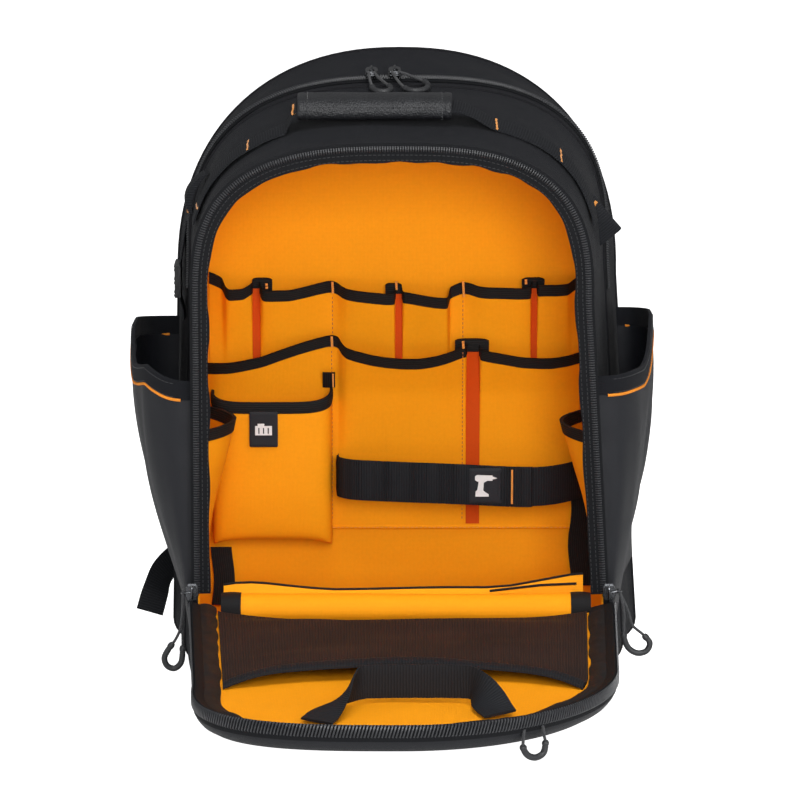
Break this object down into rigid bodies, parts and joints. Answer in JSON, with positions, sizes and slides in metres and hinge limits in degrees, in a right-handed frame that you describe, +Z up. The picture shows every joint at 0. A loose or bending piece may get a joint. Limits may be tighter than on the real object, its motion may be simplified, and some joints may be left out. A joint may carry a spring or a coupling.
{
  "type": "tool backpack",
  "caption": "Tool backpack standing on its base, front panel unzipped and folded down level, showing a pocketed orange lining, with side pockets, carry handle and shoulder straps.",
  "frame": {"origin": "centre of the underside of the base, between the front and the back of the bag and on its centre line", "axes": "+Z up, the open front faces -Y and the folded flap lies towards -Y, +X is the right of the bag seen from the front"},
  "size_m": [0.4097, 0.6313, 0.48],
  "materials": {
    "black_cloth": "matte woven polyester",
    "orange_lining": "matte woven polyester lining",
    "webbing": "ribbed polyester webbing and tape",
    "net": "knitted net",
    "softshell": "smooth stretch cloth",
    "grip_leather": "pebbled artificial leather",
    "pull_rubber": "matte rubber",
    "hard_plastic": "fine moulded grain",
    "slider_metal": "black enamel with worn edges"
  },
  "bodies": {
    "root": {"main_shell": "black_cloth", "rear_shell": "black_cloth", "gusset_lining": "orange_lining", "back_panel": "black_cloth", "back_wall": "orange_lining", "front_sill": "black_cloth", "front_zip": "webbing", "rear_zip": "webbing", "side_pocket_left": "softshell", "side_pocket_hem_left": "black_cloth", "side_pocket_right": "softshell", "side_pocket_hem_right": "black_cloth", "pockets_upper": "orange_lining", "binding_upper": "webbing", "pockets_middle": "orange_lining", "binding_middle": "webbing", "battery_pocket": "orange_lining", "battery_binding": "webbing", "battery_label": "hard_plastic", "drill_label": "hard_plastic", "drill_belt": "webbing", "side_wall_pocket_left": "orange_lining", "side_wall_binding_left": "webbing", "side_wall_pocket_right": "orange_lining", "side_wall_binding_right": "webbing", "flap_shell": "black_cloth", "flap_zip": "webbing", "flap_facing": "black_cloth", "flap_lining": "orange_lining", "mesh_pocket": "net", "mesh_hem": "webbing", "flap_strap": "webbing", "tool_lip": "orange_lining", "lip_band_left": "black_cloth", "lip_band_right": "black_cloth", "top_webbing": "webbing", "handle_grip": "grip_leather", "webbing_tab_right": "webbing", "webbing_loop_left": "webbing", "side_buckle_left": "hard_plastic", "shoulder_strap_left": "black_cloth", "ladder_lock_left": "hard_plastic", "lower_webbing_left": "webbing", "shoulder_strap_right": "black_cloth", "ladder_lock_right": "hard_plastic", "lower_webbing_right": "webbing", "slider_front_left": "slider_metal", "slider_front_right": "slider_metal", "slider_rear_left": "slider_metal", "slider_rear_right": "slider_metal", "pull_cord_front_left": "pull_rubber", "pull_grip_front_left": "pull_rubber", "pull_cord_front_right": "pull_rubber", "pull_grip_front_right": "pull_rubber", "pull_cord_rear_left": "pull_rubber", "pull_grip_rear_left": "pull_rubber", "pull_cord_rear_right": "pull_rubber", "pull_grip_rear_right": "pull_rubber", "pull_cord_flap": "pull_rubber", "pull_grip_flap": "pull_rubber"}
  },
  "joints": []
}
